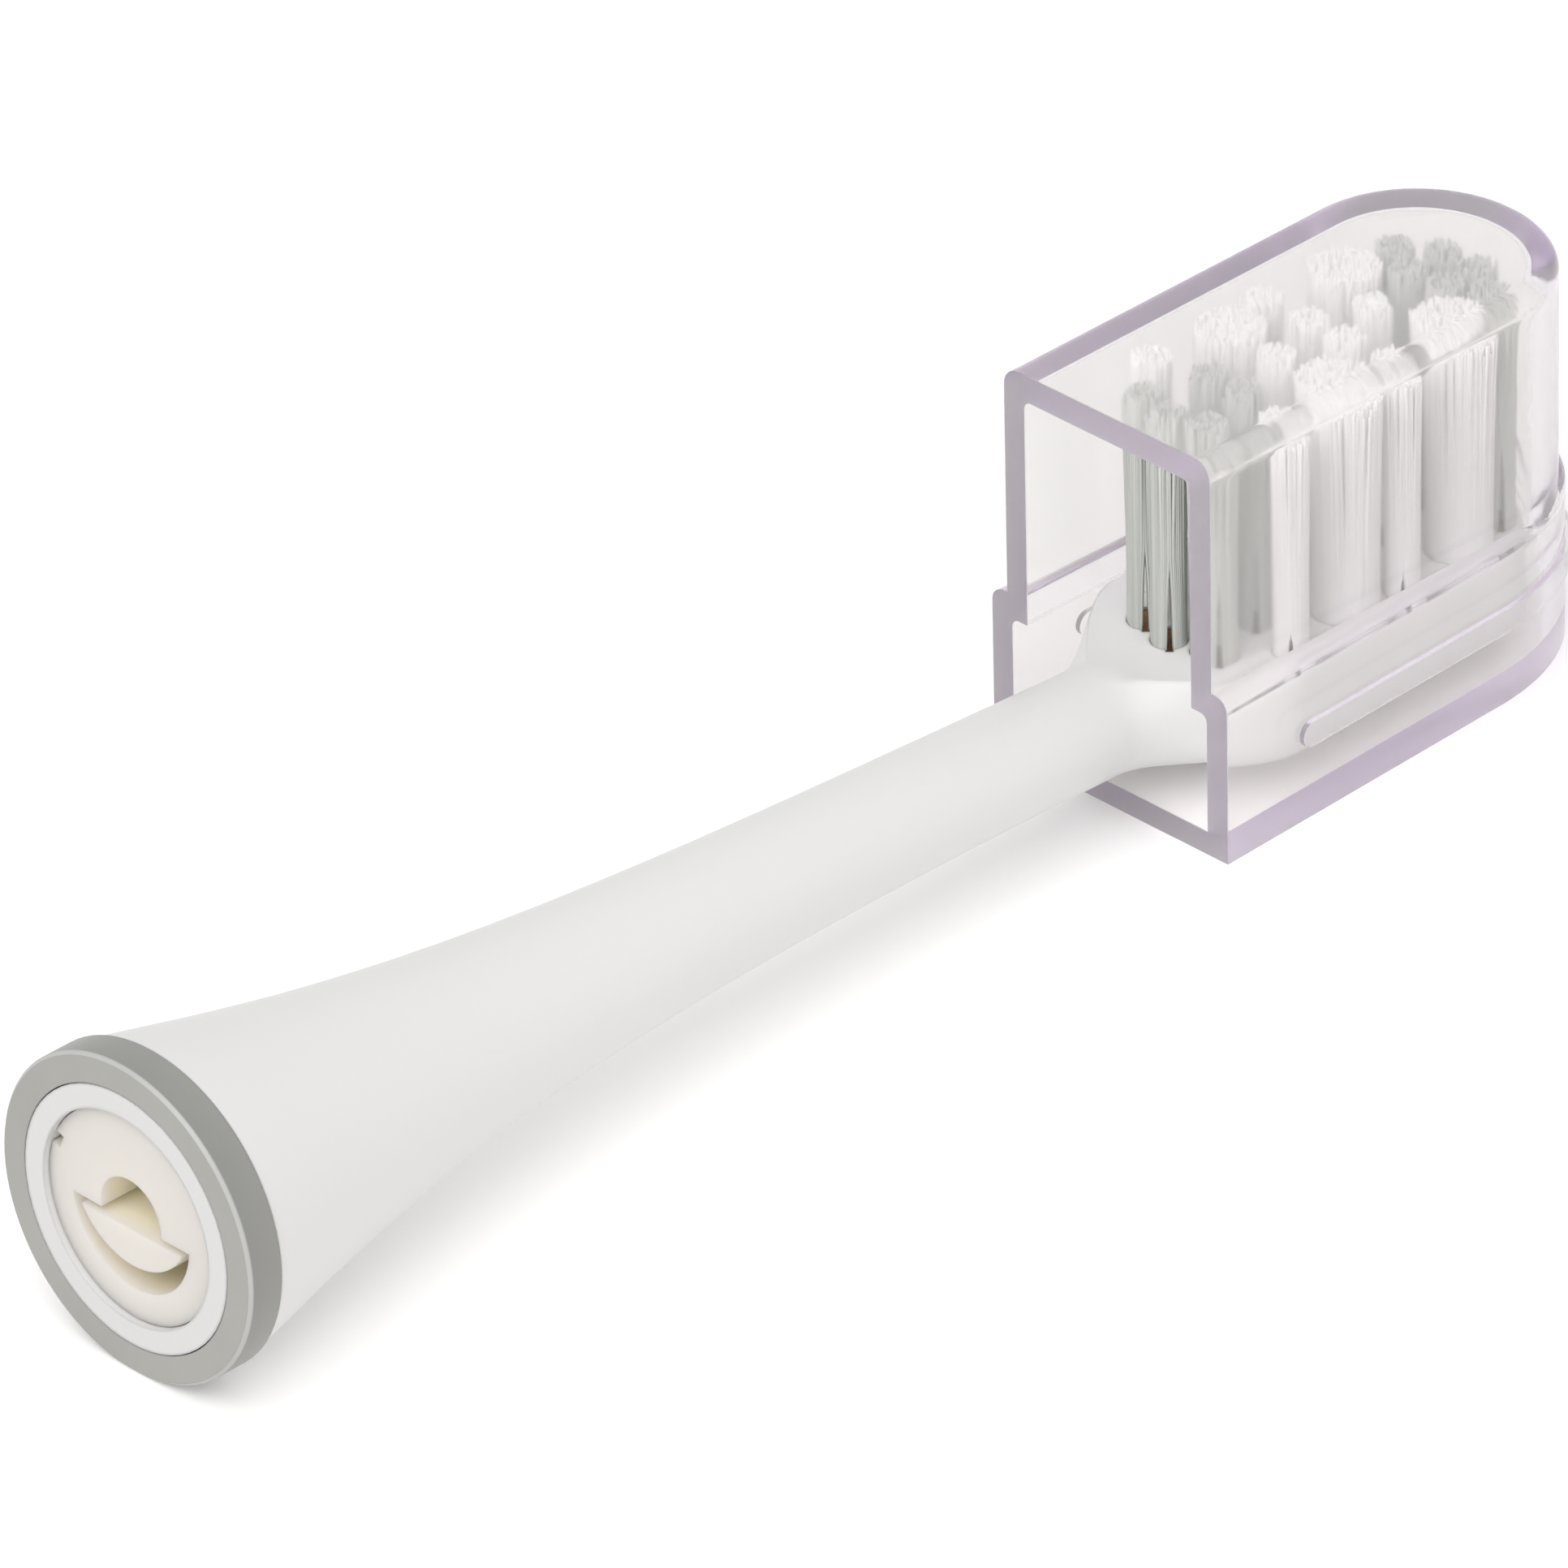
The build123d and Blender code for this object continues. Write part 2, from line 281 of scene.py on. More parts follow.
class BandGroup(SharedGroup):
    """Node group that finds the part of a moulding that lies in a band across one axis."""

    NAME = "axis_band"
    INPUTS = {"Axis": Socket.VECTOR, "Middle": Socket.VALUE, "Reach": Socket.VALUE}
    OUTPUTS = {"Mask": Socket.VALUE}

    @classmethod
    def wire(cls, tree: NodeTree, given: bpy.types.Node, result: bpy.types.Node) -> None:
        """Compare the place along the axis with the band's middle.

        Args:
            tree: the group's tree.
            given: the node that holds the group's inputs.
            result: the node that takes the group's outputs.
        """
        along = tree.add("ShaderNodeVectorMath", operation="DOT_PRODUCT")
        tree.feed(along, tree.object_place(), given.outputs["Axis"])
        near = tree.add("ShaderNodeMath", operation="COMPARE")
        tree.feed(near, along.outputs["Value"], given.outputs["Middle"], given.outputs["Reach"])
        tree.link(near.outputs["Value"], result.inputs["Mask"])


class StrandGroup(SharedGroup):
    """Node group of drawn nylon: tone that changes from strand to strand and hardly along it."""

    NAME = "nylon_strands"
    INPUTS = {"Pale": Socket.COLOUR, "Deep": Socket.COLOUR, "Strand Scale": Socket.VECTOR}
    OUTPUTS = {"Colour": Socket.COLOUR, "Roughness": Socket.VALUE}
    LEAST_STREAK = 0.3
    MOST_STREAK = 0.7
    SMOOTHEST = 0.35
    ROUGHEST = 0.55

    @classmethod
    def wire(cls, tree: NodeTree, given: bpy.types.Node, result: bpy.types.Node) -> None:
        """Let a noise that is drawn out along the strands mix the two tones and set the gloss.

        Args:
            tree: the group's tree.
            given: the node that holds the group's inputs.
            result: the node that takes the group's outputs.
        """
        stretch = tree.add("ShaderNodeMapping")
        tree.link(tree.object_place(), stretch.inputs["Vector"])
        tree.link(given.outputs["Strand Scale"], stretch.inputs["Scale"])
        streak = tree.noise(stretch.outputs["Vector"])
        contrast = {"From Min": cls.LEAST_STREAK, "From Max": cls.MOST_STREAK}
        spread = tree.add("ShaderNodeMapRange", contrast)
        tree.link(streak.outputs["Fac"], spread.inputs["Value"])
        colour = tree.add("ShaderNodeMix", data_type="RGBA")
        tree.link(spread.outputs["Result"], colour.inputs["Factor"])
        tree.link(given.outputs["Pale"], colour.inputs[MIX_COLOUR_A])
        tree.link(given.outputs["Deep"], colour.inputs[MIX_COLOUR_B])
        tree.link(colour.outputs[MIX_COLOUR_OUT], result.inputs["Colour"])
        gloss = tree.add("ShaderNodeMapRange", {"To Min": cls.SMOOTHEST, "To Max": cls.ROUGHEST})
        tree.link(streak.outputs["Fac"], gloss.inputs["Value"])
        tree.link(gloss.outputs["Result"], result.inputs["Roughness"])


class SeamGroup(SharedGroup):
    """Geometry group that joins a solid's faces at their shared edges, so that shade crosses a seam."""

    NAME = "joined_faces"
    KIND = "GeometryNodeTree"
    INPUTS = {"Geometry": Socket.GEOMETRY}
    OUTPUTS = {"Geometry": Socket.GEOMETRY}
    PACKED_NORMALS = "custom_normal"
    JOIN = 0.002 * MM
    SHARPEST = math.radians(28.0)

    @classmethod
    def wire(cls, tree: NodeTree, given: bpy.types.Node, result: bpy.types.Node) -> None:
        """Merge the faces' borders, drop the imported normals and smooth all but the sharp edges.

        Args:
            tree: the group's tree.
            given: the node that holds the group's inputs.
            result: the node that takes the group's outputs.
        """
        join = tree.add("GeometryNodeMergeByDistance", {"Distance": cls.JOIN})
        plain = tree.add("GeometryNodeRemoveAttribute", {"Name": cls.PACKED_NORMALS})
        smooth = tree.add("GeometryNodeSetShadeSmooth", domain="FACE")
        crease = tree.add("GeometryNodeSetShadeSmooth", domain="EDGE")
        step = given
        for following in (join, plain, smooth, crease, result):
            tree.link(step.outputs["Geometry"], following.inputs["Geometry"])
            step = following
        angle = tree.add("GeometryNodeInputMeshEdgeAngle")
        soft = tree.add("FunctionNodeCompare", {"B": cls.SHARPEST}, data_type="FLOAT", operation="LESS_THAN")
        tree.link(angle.outputs["Unsigned Angle"], soft.inputs["A"])
        tree.link(soft.outputs["Result"], crease.inputs["Shade Smooth"])


@dataclass(frozen=True)
class MouldedPlastic:
    """Finish of an opaque moulding, with tones that change along X from the base's end face, where they
    paint light and shade.
    """

    name: str
    tones: tuple[Tone, ...]
    cloud_tone: float = 0.96
    smoothest: float = 0.32
    roughest: float = 0.45
    cloud_scale: float = 90.0
    grain_scale: float = 9000.0
    grain_depth: float = 0.004 * MM
    edge_round: float = 0.12 * MM
    glow: float = 0.0
    glow_depth: float = 1.5 * MM

    def material(self) -> bpy.types.Material:
        """Build the finish's material.

        Returns:
            A new material.
        """
        material, tree = new_material(self.name)
        skin_values = {
            "Cloud Tone": self.cloud_tone,
            "Cloud Scale": self.cloud_scale,
            "Grain Scale": self.grain_scale,
            "Smoothest": self.smoothest,
            "Roughest": self.roughest,
        }
        skin = SkinGroup.place(tree, skin_values)
        tree.link(self.tone_ramp(tree), skin.inputs["Colour"])
        soft_edge = tree.add("ShaderNodeBevel", {"Radius": self.edge_round})
        bump = tree.add("ShaderNodeBump", {"Distance": self.grain_depth})
        tree.link(skin.outputs["Height"], bump.inputs["Height"])
        tree.link(soft_edge.outputs["Normal"], bump.inputs["Normal"])
        surface_values = {
            "Subsurface Weight": self.glow,
            "Subsurface Radius": WHITE,
            "Subsurface Scale": self.glow_depth,
        }
        surface = tree.add("ShaderNodeBsdfPrincipled", surface_values)
        tree.link(skin.outputs["Colour"], surface.inputs["Base Color"])
        tree.link(skin.outputs["Roughness"], surface.inputs["Roughness"])
        tree.link(bump.outputs["Normal"], surface.inputs["Normal"])
        tree.feed(tree.add("ShaderNodeOutputMaterial"), surface.outputs["BSDF"])
        return material

    def tone_ramp(self, tree: NodeTree) -> bpy.types.NodeSocket:
        """Place the nodes that turn the place along X into a tone, painting light and shade near the base's
        end.

        Args:
            tree: the material's node tree.

        Returns:
            The tone's socket.
        """
        (start, start_colour), *between, (end, end_colour) = self.tones
        split = tree.feed(tree.add("ShaderNodeSeparateXYZ"), tree.object_place())
        along = tree.add("ShaderNodeMapRange", {"From Min": start, "From Max": end})
        tree.link(split.outputs["X"], along.inputs["Value"])
        ramp = tree.feed(tree.add("ShaderNodeValToRGB"), along.outputs["Result"])
        stops = ramp.color_ramp.elements
        stops[0].color = rgba(start_colour)
        stops[1].color = rgba(end_colour)
        for x, colour in between:
            stops.new((x - start) / (end - start)).color = rgba(colour)
        return ramp.outputs["Color"]


@dataclass(frozen=True)
class ClearPlastic:
    """Finish of the cap: a clear plastic whose long light paths turn lilac."""

    name: str
    colour: Colour
    tint: Colour
    tint_density: float
    cloud_tone: float = 0.985
    clearness: float = 0.88
    index: float = 1.49
    smoothest: float = 0.07
    roughest: float = 0.13
    ripple_scale: float = 160.0
    ripple_depth: float = 0.006 * MM
    lamp_share: Colour = (1.0, 0.99, 0.99)
    edge_roughness: float = 0.55
    edge_reach: float = 0.05 * MM
    roof_roughness: float = 0.125
    roof_t: float = 1.3 * MM

    def material(self, end_x: float, top_z: float) -> bpy.types.Material:
        """Build the finish's material.

        Args:
            end_x: place of the cap's open end, whose face is frosted.
            top_z: place of the cap's top, whose roof is hazier than the walls.

        Returns:
            A new material.
        """
        material, tree = new_material(self.name)
        skin_values = {
            "Colour": rgba(self.colour),
            "Cloud Tone": self.cloud_tone,
            "Cloud Scale": self.ripple_scale,
            "Grain Scale": self.ripple_scale,
            "Smoothest": self.smoothest,
            "Roughest": self.roughest,
        }
        skin = SkinGroup.place(tree, skin_values)
        bump = tree.add("ShaderNodeBump", {"Distance": self.ripple_depth})
        tree.link(skin.outputs["Height"], bump.inputs["Height"])
        half_roof = self.roof_t / 2
        roof_reach = half_roof + self.edge_reach
        skin_roughness = skin.outputs["Roughness"]
        hazy = self.hazed(tree, skin_roughness, UP, top_z - half_roof, roof_reach, self.roof_roughness)
        frosted = self.hazed(tree, hazy, ALONG, end_x, self.edge_reach, self.edge_roughness)
        surface_values = {"Transmission Weight": self.clearness, "IOR": self.index}
        surface = tree.add("ShaderNodeBsdfPrincipled", surface_values)
        tree.link(skin.outputs["Colour"], surface.inputs["Base Color"])
        tree.link(frosted, surface.inputs["Roughness"])
        tree.link(bump.outputs["Normal"], surface.inputs["Normal"])
        open_way = tree.add("ShaderNodeBsdfTransparent", {"Color": rgba(self.lamp_share)})
        shadow = tree.add("ShaderNodeLightPath").outputs["Is Shadow Ray"]
        let_through = tree.add("ShaderNodeMixShader")
        tree.feed(let_through, shadow, surface.outputs["BSDF"], open_way.outputs["BSDF"])
        depth_values = {"Color": rgba(self.tint), "Density": self.tint_density}
        depth = tree.add("ShaderNodeVolumeAbsorption", depth_values)
        result = tree.add("ShaderNodeOutputMaterial")
        tree.feed(result, let_through.outputs["Shader"], depth.outputs["Volume"])
        return material

    @staticmethod
    def hazed(
        tree: NodeTree,
        roughness: bpy.types.NodeSocket,
        axis: Triple,
        middle: float,
        reach: float,
        haze: float,
    ) -> bpy.types.NodeSocket:
        """Place the nodes that give a band across one axis a roughness of its own.

        Args:
            tree: the material's node tree.
            roughness: the roughness outside the band.
            axis: the direction that the band lies across.
            middle: the band's place along the axis.
            reach: how far the band goes each way from its middle.
            haze: the roughness inside the band.

        Returns:
            The new roughness.
        """
        band = BandGroup.place(tree, {"Axis": axis, "Middle": middle, "Reach": reach})
        mix = tree.add("ShaderNodeMix", data_type="FLOAT")
        mix.inputs[MIX_VALUE_B].default_value = haze
        tree.link(band.outputs["Mask"], mix.inputs["Factor"])
        tree.link(roughness, mix.inputs[MIX_VALUE_A])
        return mix.outputs[MIX_VALUE_OUT]


@dataclass(frozen=True)
class Nylon:
    """Finish of the filaments of one colour."""

    name: str
    pale: Colour
    deep: Colour
    strand_scale: Triple = (5200.0, 5200.0, 60.0)
    glow: float = 0.3
    glow_depth: float = 0.2 * MM

    def material(self) -> bpy.types.Material:
        """Build the finish's material.

        Returns:
            A new material.
        """
        material, tree = new_material(self.name)
        strand_values = {
            "Pale": rgba(self.pale),
            "Deep": rgba(self.deep),
            "Strand Scale": self.strand_scale,
        }
        strands = StrandGroup.place(tree, strand_values)
        surface_values = {
            "Subsurface Weight": self.glow,
            "Subsurface Radius": WHITE,
            "Subsurface Scale": self.glow_depth,
        }
        surface = tree.add("ShaderNodeBsdfPrincipled", surface_values)
        tree.link(strands.outputs["Colour"], surface.inputs["Base Color"])
        tree.link(strands.outputs["Roughness"], surface.inputs["Roughness"])
        tree.feed(tree.add("ShaderNodeOutputMaterial"), surface.outputs["BSDF"])
        return material


@dataclass(frozen=True)
class DullBrass:
    """Finish of the anchor strips."""

    name: str
    colour: Colour
    cloud_tone: float = 0.7
    cloud_scale: float = 3000.0
    smoothest: float = 0.35
    roughest: float = 0.55

    def material(self) -> bpy.types.Material:
        """Build the finish's material.

        Returns:
            A new material.
        """
        material, tree = new_material(self.name)
        skin_values = {
            "Colour": rgba(self.colour),
            "Cloud Tone": self.cloud_tone,
            "Cloud Scale": self.cloud_scale,
            "Smoothest": self.smoothest,
            "Roughest": self.roughest,
        }
        skin = SkinGroup.place(tree, skin_values)
        surface = tree.add("ShaderNodeBsdfPrincipled", {"Metallic": 1.0})
        tree.link(skin.outputs["Colour"], surface.inputs["Base Color"])
        tree.link(skin.outputs["Roughness"], surface.inputs["Roughness"])
        tree.feed(tree.add("ShaderNodeOutputMaterial"), surface.outputs["BSDF"])
        return material


# Painted shade: the white plastic's tones are darker at the base's end face, up to 0.4 mm in, and reach the
# moulding's own white at 1.2 mm. This tones down the lamp's light on that face.
WHITE_PLASTIC = MouldedPlastic(
    "white_plastic",
    (
        (0.4 * MM, (0.695, 0.696, 0.692)),
        (1.2 * MM, (0.81, 0.808, 0.806)),
    ),
    cloud_tone=0.98,
    edge_round=0.25 * MM,
)
# Painted light and shade on one grey moulding: the end face is painted lighter as the side the lamp lights,
# and the band is painted darker as the side in shade. A painted highlight runs along the chamfer between
# them, from 0.02 to 0.14 mm.
RING_PLASTIC = MouldedPlastic(
    "ring_plastic",
    (
        (0.0, (0.40, 0.40, 0.375)),
        (0.02 * MM, (0.53, 0.53, 0.51)),
        (0.14 * MM, (0.53, 0.53, 0.51)),
        (0.22 * MM, (0.29, 0.29, 0.275)),
        (1.60 * MM, (0.32, 0.32, 0.30)),
    ),
    cloud_tone=0.82,
    cloud_scale=160.0,
)
# Painted light: the insert keeps its own cream at its face and is painted brighter and warmer deeper in its
# socket. This stands in for light that glows through the insert into the socket's shade.
INSERT_PLASTIC = MouldedPlastic(
    "insert_plastic",
    (
        (0.3 * MM, (0.745, 0.71, 0.665)),
        (1.2 * MM, (0.97, 0.90, 0.74)),
        (4.0 * MM, (0.98, 0.91, 0.72)),
    ),
    glow=0.7,
    glow_depth=2.0 * MM,
)
CAP_PLASTIC = ClearPlastic("cap_plastic", (0.965, 0.965, 0.93), tint=(0.72, 0.53, 0.86), tint_density=62.0)
NYLON = {
    Bristle.GREY: Nylon("grey_nylon", (0.62, 0.635, 0.605), (0.46, 0.475, 0.445)),
    Bristle.WHITE: Nylon("white_nylon", (0.96, 0.96, 0.95), (0.92, 0.92, 0.91)),
}
ANCHOR_BRASS = DullBrass("anchor_brass", (0.42, 0.25, 0.13))


def join_faces(node: str) -> None:
    """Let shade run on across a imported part's seams, with its flats kept flat.

    Args:
        node: the part's node name.
    """
    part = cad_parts[node]
    part.modifiers.new("joined_faces", "NODES").node_group = SeamGroup.get()
    part.modifiers.new("flats_kept", "WEIGHTED_NORMAL").keep_sharp = True


def dress(node: str, material: bpy.types.Material) -> None:
    """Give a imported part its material.

    Args:
        node: the part's node name.
        material: the finish that it gets.
    """
    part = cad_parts[node]
    part.data.materials.clear()
    part.data.materials.append(material)
    LOG.info("dressed %s in %s", node, material.name)


@dataclass
class Mouldings:
    """The three opaque mouldings of the brush: body, base ring and drive insert."""

    finishes: dict[str, MouldedPlastic] = field(
        default_factory=lambda: {
            "brush_body": WHITE_PLASTIC,
            "base_ring": RING_PLASTIC,
            "drive_insert": INSERT_PLASTIC,
        }
    )

    def dress(self) -> None:
        """Give each moulding its finish."""
        for node, finish in self.finishes.items():
            dress(node, finish.material())
            join_faces(node)


@dataclass
class TravelCap:
    """The clear cap over the head."""

    node: str = "cap"
    finish: ClearPlastic = CAP_PLASTIC

    def dress(self) -> None:
        """Give the cap its finish."""
        low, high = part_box(self.node)
        dress(self.node, self.finish.material(low.x, high.z))
        join_faces(self.node)


@dataclass
class Tuft:
    """One bundle of filaments, parted at its foot round its anchor."""

    node: str
    bristle: Bristle
    foot_z: float
    slit_h: float
    seed: int
    filament_d: float = 0.15 * MM
    ring_pitch: float = 0.9
    outer_rings: int = 2
    outer_overlap: float = 0.4
    sides: int = 6
    height_spread: float = 0.6 * MM
    splay: float = 0.08
    lean: float = 0.06 * MM
    slit_w: float = 0.34 * MM
    slit_angle: float = math.radians(45.0)
    slit_closing: float = 0.35
    widest_slit: float = 2.0 * MM
    bend_shares: Triple = (0.5, 0.8, 1.0)
    tip_share: float = 0.55

    def build(self) -> bpy.types.Object:
        """Make the bundle as one mesh in the place of its solid.

        Returns:
            The new object.
        """
        rng = random.Random(self.seed)
        low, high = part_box(self.node)
        middle = (low + high) / 2
        radius = (high.x - low.x) / 2
        axis = Vector((middle.x, middle.y, 0))
        verts: list[Vector] = []
        faces: list[tuple[int, ...]] = []
        for root in self.roots(radius, rng):
            top = high.z - self.height_spread * rng.random() ** 2
            path = self.path(root, radius, low.z, top, rng)
            self.add_filament(verts, faces, [axis + point for point in path])
        mesh = bpy.data.meshes.new(f"{self.bristle.value}_bristles")
        mesh.from_pydata(verts, [], faces)
        mesh.shade_smooth()
        return add_object(self.node.replace("tuft", "bristles"), mesh)

    def roots(self, radius: float, rng: random.Random) -> list[Vector]:
        """Places of the filaments in the bundle, in rings from the outside in.

        The outer rings are pressed together.

        Args:
            radius: the bundle's radius.
            rng: the bundle's random numbers.

        Returns:
            Each filament's place from the bundle's axis.
        """
        places = []
        reach = radius - self.filament_d / 2
        ring = 0
        while reach > 0:
            overlap = self.outer_overlap if ring < self.outer_rings else 0.0
            count = max(1, int(2 * math.pi * reach / (self.filament_d * (1 - overlap))))
            start = 2 * math.pi * rng.random()
            for index in range(count):
                turn = start + 2 * math.pi * index / count
                places.append(Vector((reach * math.cos(turn), reach * math.sin(turn), 0.0)))
            reach -= self.filament_d * self.ring_pitch
            ring += 1
        return places

    def path(self, root: Vector, radius: float, low: float, top: float, rng: random.Random) -> list[Vector]:
        """Line that one filament follows from the hole's bottom to its cut end.

        Args:
            root: the filament's place in the bundle, from the bundle's axis.
            radius: the bundle's radius.
            low: the hole's bottom.
            top: the height of the cut end.
            rng: the bundle's random numbers.

        Returns:
            Points up the filament.
        """
        across = Vector((-math.sin(self.slit_angle), math.cos(self.slit_angle), 0))
        side = root.dot(across)
        half_slit = self.slit_w / 2 if 2 * radius < self.widest_slit else 0.0
        opened = math.copysign(half_slit + abs(side) * (1 - half_slit / radius), side)
        parted = root + across * (opened - side)
        closing = parted.lerp(root, self.slit_closing)
        bend = Vector((rng.gauss(0, 1), rng.gauss(0, 1), 0)) * self.lean
        free = top - self.foot_z
        points = [
            parted + Vector((0, 0, low)),
            parted + Vector((0, 0, self.foot_z)),
            closing + Vector((0, 0, self.foot_z + self.slit_h / 2)),
        ]
        for share in (self.slit_h / free, *self.bend_shares):
            spread = root * (1 + self.splay * share**2) + bend * share**2
            points.append(spread + Vector((0, 0, self.foot_z + share * free)))
        return points

    def add_filament(
        self, verts: list[Vector], faces: list[tuple[int, ...]], path: list[Vector]
    ) -> None:
        """Add a thin round rod along a path, with a narrowed end.

        Args:
            verts: the mesh's points so far.
            faces: the mesh's faces so far.
            path: points up the filament.
        """
        start = len(verts)
        radius = self.filament_d / 2
        last = path[-1]
        rings = [(point, radius) for point in path[:-1]]
        rings.append((last - Vector((0, 0, radius)), radius))
        rings.append((last, radius * self.tip_share))
        for point, size in rings:
            for step in range(self.sides):
                turn = 2 * math.pi * step / self.sides
                verts.append(point + Vector((size * math.cos(turn), size * math.sin(turn), 0)))
        for ring in range(len(rings) - 1):
            for step in range(self.sides):
                near = start + ring * self.sides + step
                far = start + ring * self.sides + (step + 1) % self.sides
                faces.append((near, far, far + self.sides, near + self.sides))
        end = start + (len(rings) - 1) * self.sides
        faces.append(tuple(range(end, end + self.sides)))
        faces.append(tuple(range(start + self.sides - 1, start - 1, -1)))


@dataclass
class TuftField:
    """All the tufts on the head, with the brass anchors at their feet."""

    anchor_prefix: str = "anchor_"
    anchor_sink: float = 0.1 * MM
    slit_h: dict[Bristle, float] = field(
        default_factory=lambda: {Bristle.GREY: 4.5 * MM, Bristle.WHITE: 1.4 * MM}
    )

    def build(self) -> None:
        """Make, dress and place every bundle, and dress the anchors."""
        nylon = {bristle: finish.material() for bristle, finish in NYLON.items()}
        anchors = sorted(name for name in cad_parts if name.startswith(self.anchor_prefix))
        foot_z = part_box(anchors[0])[1].z + self.anchor_sink
        for seed, node in enumerate(sorted(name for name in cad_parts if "_tuft_" in name)):
            bristle = Bristle(node.split("_")[0])
            piece = Tuft(node, bristle, foot_z, self.slit_h[bristle], seed).build()
            piece.data.materials.append(nylon[bristle])
            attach(piece, Body.BRUSH.value)
            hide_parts(node)
            LOG.info("built %s with %d faces", piece.name, len(piece.data.polygons))
        brass = ANCHOR_BRASS.material()
        for node in anchors:
            dress(node, brass)


def seen_ray(tree: NodeTree) -> bpy.types.NodeSocket:
    """Mask of the rays that show the backdrop: straight to the camera, or by gloss or glass.

    Args:
        tree: the floor's or the world's node tree.

    Returns:
        The mask's socket.
    """
    path = tree.add("ShaderNodeLightPath")
    seen = path.outputs["Is Camera Ray"]
    for kind in ("Is Glossy Ray", "Is Transmission Ray"):
        either = tree.add("ShaderNodeMath", operation="MAXIMUM")
        seen = tree.feed(either, seen, path.outputs[kind]).outputs["Value"]
    return seen


@dataclass(frozen=True)
class Lamp:
    """A soft round lamp that faces the camera's aim."""

    name: str
    offset: Triple
    size: float
    power: float

    def hang(self, aim: Vector) -> None:
        """Hang the lamp at its offset from the aim.

        Args:
            aim: the place that the lamp faces.
        """
        offset = Vector(self.offset)
        data = bpy.data.lights.new(self.name, "AREA")
        data.shape = "DISK"
        data.size = self.size
        data.energy = self.power
        lamp = add_object(self.name, data)
        lamp.location = aim + offset
        lamp.rotation_euler = offset.to_track_quat("Z", "Y").to_euler()


KEY_LAMP = Lamp("key_lamp", (-0.57, -0.22, 0.72), size=0.8, power=4.5)
FILL_LAMP = Lamp("fill_lamp", (-0.35, -0.75, 0.40), size=0.9, power=0.9)


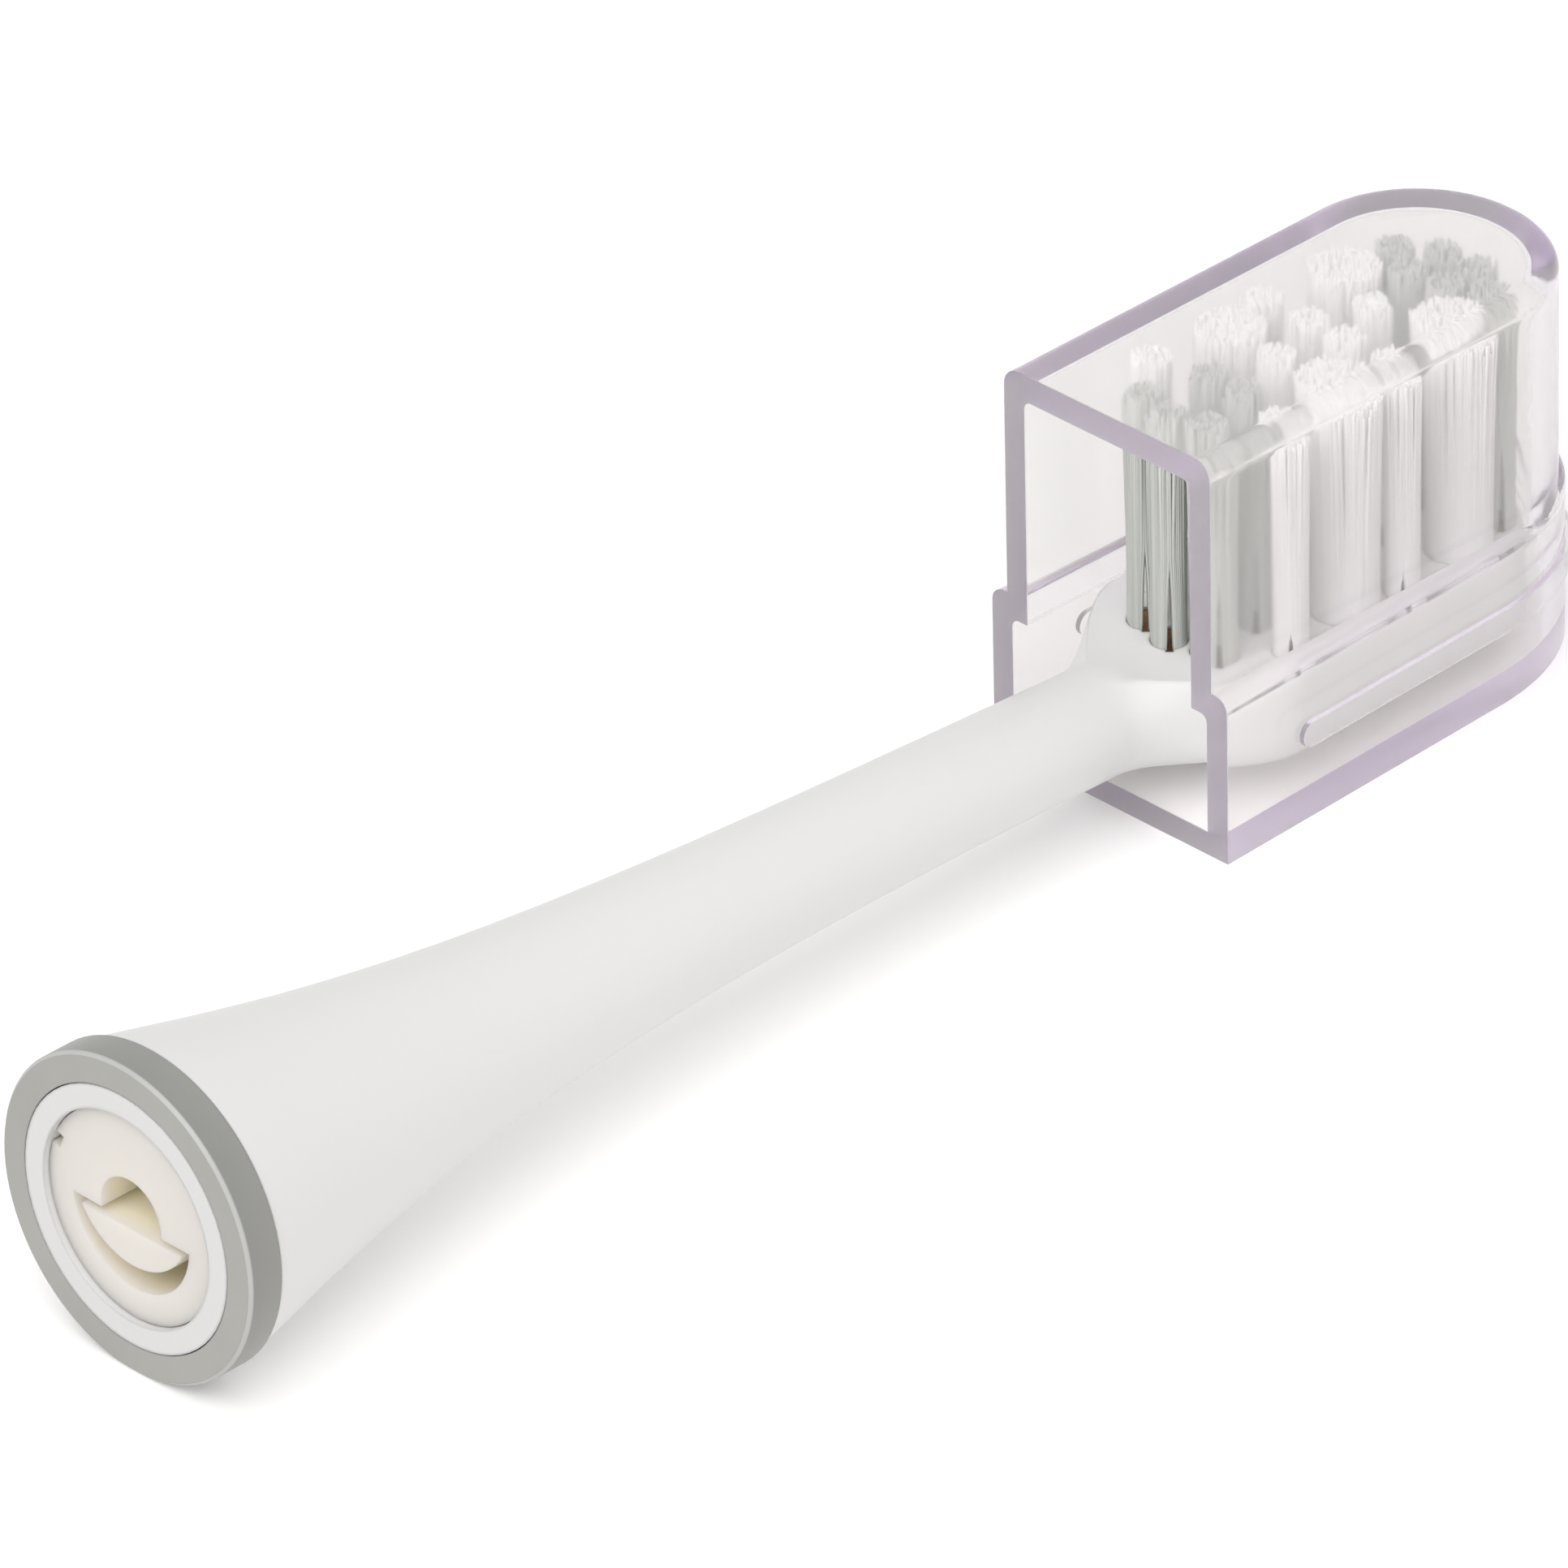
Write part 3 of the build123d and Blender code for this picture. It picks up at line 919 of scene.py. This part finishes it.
@dataclass
class Studio:
    """Pale floor, soft lamps and the photograph's camera."""

    azimuth: float = math.radians(-43.89)
    elevation: float = math.radians(31.68)
    roll: float = math.radians(-1.386)
    distance: float = 0.7381
    aim: Vector = field(default_factory=lambda: Vector((42.5, 4.6, 0.0)) * MM)
    lens: float = 397.5
    sensor: float = 36.0
    clip: Range = (0.05, 20.0)
    cap_travel: float = 26.0 * MM
    floor_size: float = 4.0
    floor_colour: Colour = (0.93, 0.925, 0.92)
    floor_lift: float = 0.14
    sky_colour: Colour = (1.0, 0.99, 0.98)
    sky_strength: float = 0.62
    lamps: tuple[Lamp, ...] = (KEY_LAMP, FILL_LAMP)
    light_bounces: int = 16
    diffuse_bounces: int = 6

    def build(self) -> None:
        """Make the stage."""
        self.build_camera()
        self.build_floor()
        self.build_world()
        for lamp in self.lamps:
            lamp.hang(self.aim)
        scene = bpy.context.scene
        scene.view_settings.view_transform = "Standard"
        scene.cycles.max_bounces = self.light_bounces
        scene.cycles.glossy_bounces = self.light_bounces
        scene.cycles.transmission_bounces = self.light_bounces
        scene.cycles.diffuse_bounces = self.diffuse_bounces

    def build_camera(self) -> None:
        """Aim the camera as the photograph was taken."""
        flat = math.cos(self.elevation)
        ahead = Vector(
            (-math.sin(self.azimuth) * flat, math.cos(self.azimuth) * flat, -math.sin(self.elevation))
        )
        level = Vector((math.cos(self.azimuth), math.sin(self.azimuth), 0))
        upward = level.cross(ahead)
        right = level * math.cos(self.roll) + upward * math.sin(self.roll)
        upward = right.cross(ahead)
        data = bpy.data.cameras.new("photo_camera")
        data.sensor_width = self.sensor
        data.lens = self.lens
        data.clip_start, data.clip_end = self.clip
        camera = add_object("photo_camera", data)
        turn = Matrix((right, upward, -ahead)).transposed().to_4x4()
        camera.matrix_world = Matrix.Translation(self.aim - ahead * self.distance) @ turn
        bpy.context.scene.camera = camera

    def build_floor(self) -> None:
        """Lay a pale floor that touches the base ring and clears the cap over its whole travel."""
        ring_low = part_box("base_ring")[0]
        cap_low, cap_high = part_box("cap")
        run = cap_high.x + self.cap_travel - ring_low.x
        pitch = math.atan2(cap_low.z - ring_low.z, run)
        half = self.floor_size / 2
        corners = [(-half, -half, 0), (half, -half, 0), (half, half, 0), (-half, half, 0)]
        mesh = bpy.data.meshes.new("floor")
        mesh.from_pydata(corners, [], [(0, 1, 2, 3)])
        mesh.materials.append(self.floor_material())
        floor = add_object("floor", mesh)
        foot = Matrix.Translation((ring_low.x, 0, ring_low.z))
        floor.matrix_world = foot @ Matrix.Rotation(-pitch, 4, "Y")

    def floor_material(self) -> bpy.types.Material:
        """Build the floor's paper, which shows as white and keeps the shadow.

        Returns:
            A new material.
        """
        material, tree = new_material("floor_paper")
        paper = tree.add("ShaderNodeBsdfDiffuse", {"Color": rgba(self.floor_colour)})
        white = tree.add("ShaderNodeBsdfDiffuse", {"Color": rgba(WHITE)})
        lift = tree.add("ShaderNodeEmission", {"Strength": self.floor_lift})
        shown = tree.add("ShaderNodeAddShader")
        tree.feed(shown, white.outputs["BSDF"], lift.outputs["Emission"])
        choose = tree.add("ShaderNodeMixShader")
        tree.feed(choose, seen_ray(tree), paper.outputs["BSDF"], shown.outputs["Shader"])
        tree.feed(tree.add("ShaderNodeOutputMaterial"), choose.outputs["Shader"])
        return material

    def build_world(self) -> None:
        """Set an even pale sky that shows as white."""
        world = bpy.data.worlds.new("studio")
        bpy.context.scene.world = world
        world.use_nodes = True
        tree = NodeTree(world.node_tree)
        sky_values = {"Color": rgba(self.sky_colour), "Strength": self.sky_strength}
        light = tree.add("ShaderNodeBackground", sky_values)
        white = tree.add("ShaderNodeBackground", {"Color": rgba(WHITE)})
        choose = tree.add("ShaderNodeMixShader")
        tree.feed(choose, seen_ray(tree), light.outputs["Background"], white.outputs["Background"])
        tree.feed(tree.add("ShaderNodeOutputWorld"), choose.outputs["Shader"])


def main() -> None:
    """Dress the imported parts, build the tufts and set the stage."""
    logging.basicConfig(level=logging.INFO, format="%(name)s: %(message)s")
    Mouldings().dress()
    TravelCap().dress()
    TuftField().build()
    Studio().build()


if __name__ == "__main__":
    main()
